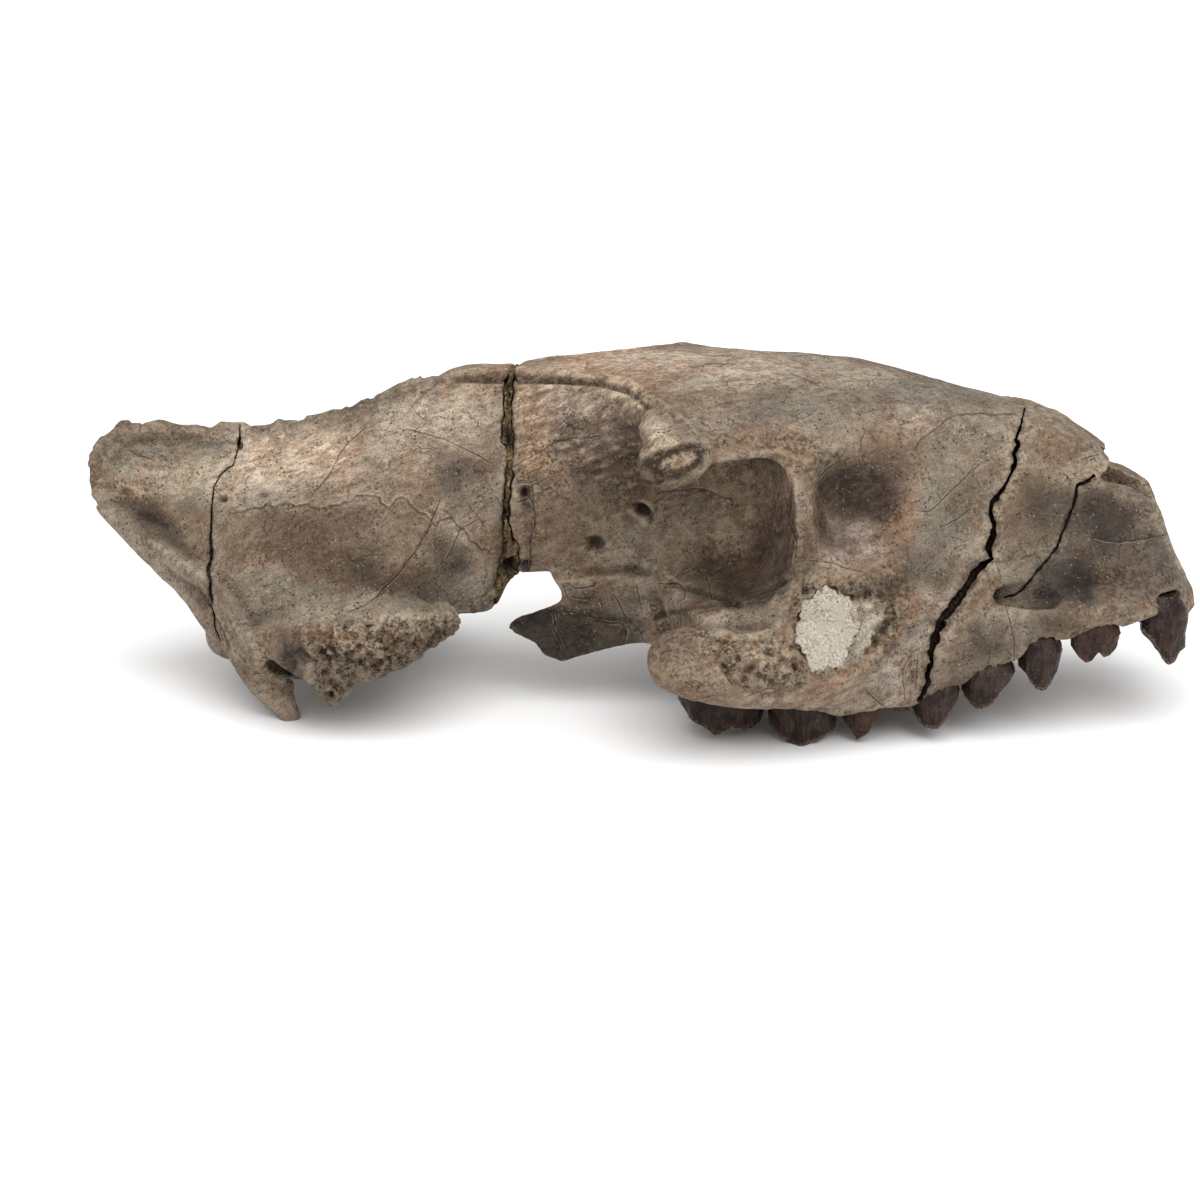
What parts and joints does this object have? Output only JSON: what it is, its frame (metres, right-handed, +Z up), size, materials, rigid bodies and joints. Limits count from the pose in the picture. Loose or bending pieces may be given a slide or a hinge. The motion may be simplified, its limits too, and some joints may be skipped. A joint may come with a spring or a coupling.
{
  "type": "fossil oreodont skull",
  "caption": "Fossil skull of a plant-eating mammal without its lower jaw, rejoined across a break, with dark cheek teeth; it stands on worn molars and rear prongs.",
  "frame": {"origin": "centre of the bounding box's bottom face, on the surface that the skull rests on", "axes": "+X towards the tip of the muzzle, +Y towards the skull's left side, +Z up"},
  "size_m": [0.2268, 0.0998, 0.0701],
  "materials": {
    "fossil_bone": "dry and dull, mottled grey tan, brown and grey green, with cracks and rough broken edges",
    "tooth_enamel": "glossy dark purple brown enamel with fine ridges",
    "pale_sediment": "dull, chalky and pale",
    "break_filling": "dull, crumbly and yellowish brown"
  },
  "bodies": {
    "root": {"braincase_fragment": "fossil_bone", "face_fragment": "fossil_bone", "break_filling": "break_filling", "cheek_filling": "pale_sediment", "left_molar_3": "tooth_enamel", "left_molar_2": "tooth_enamel", "left_molar_1": "tooth_enamel", "left_premolar_4": "tooth_enamel", "left_premolar_3": "tooth_enamel", "left_premolar_2": "tooth_enamel", "left_premolar_1": "tooth_enamel", "left_canine": "tooth_enamel", "right_molar_3": "tooth_enamel", "right_molar_2": "tooth_enamel", "right_molar_1": "tooth_enamel", "right_premolar_4": "tooth_enamel", "right_premolar_3": "tooth_enamel", "right_premolar_2": "tooth_enamel", "right_premolar_1": "tooth_enamel", "right_canine": "tooth_enamel"}
  },
  "joints": []
}
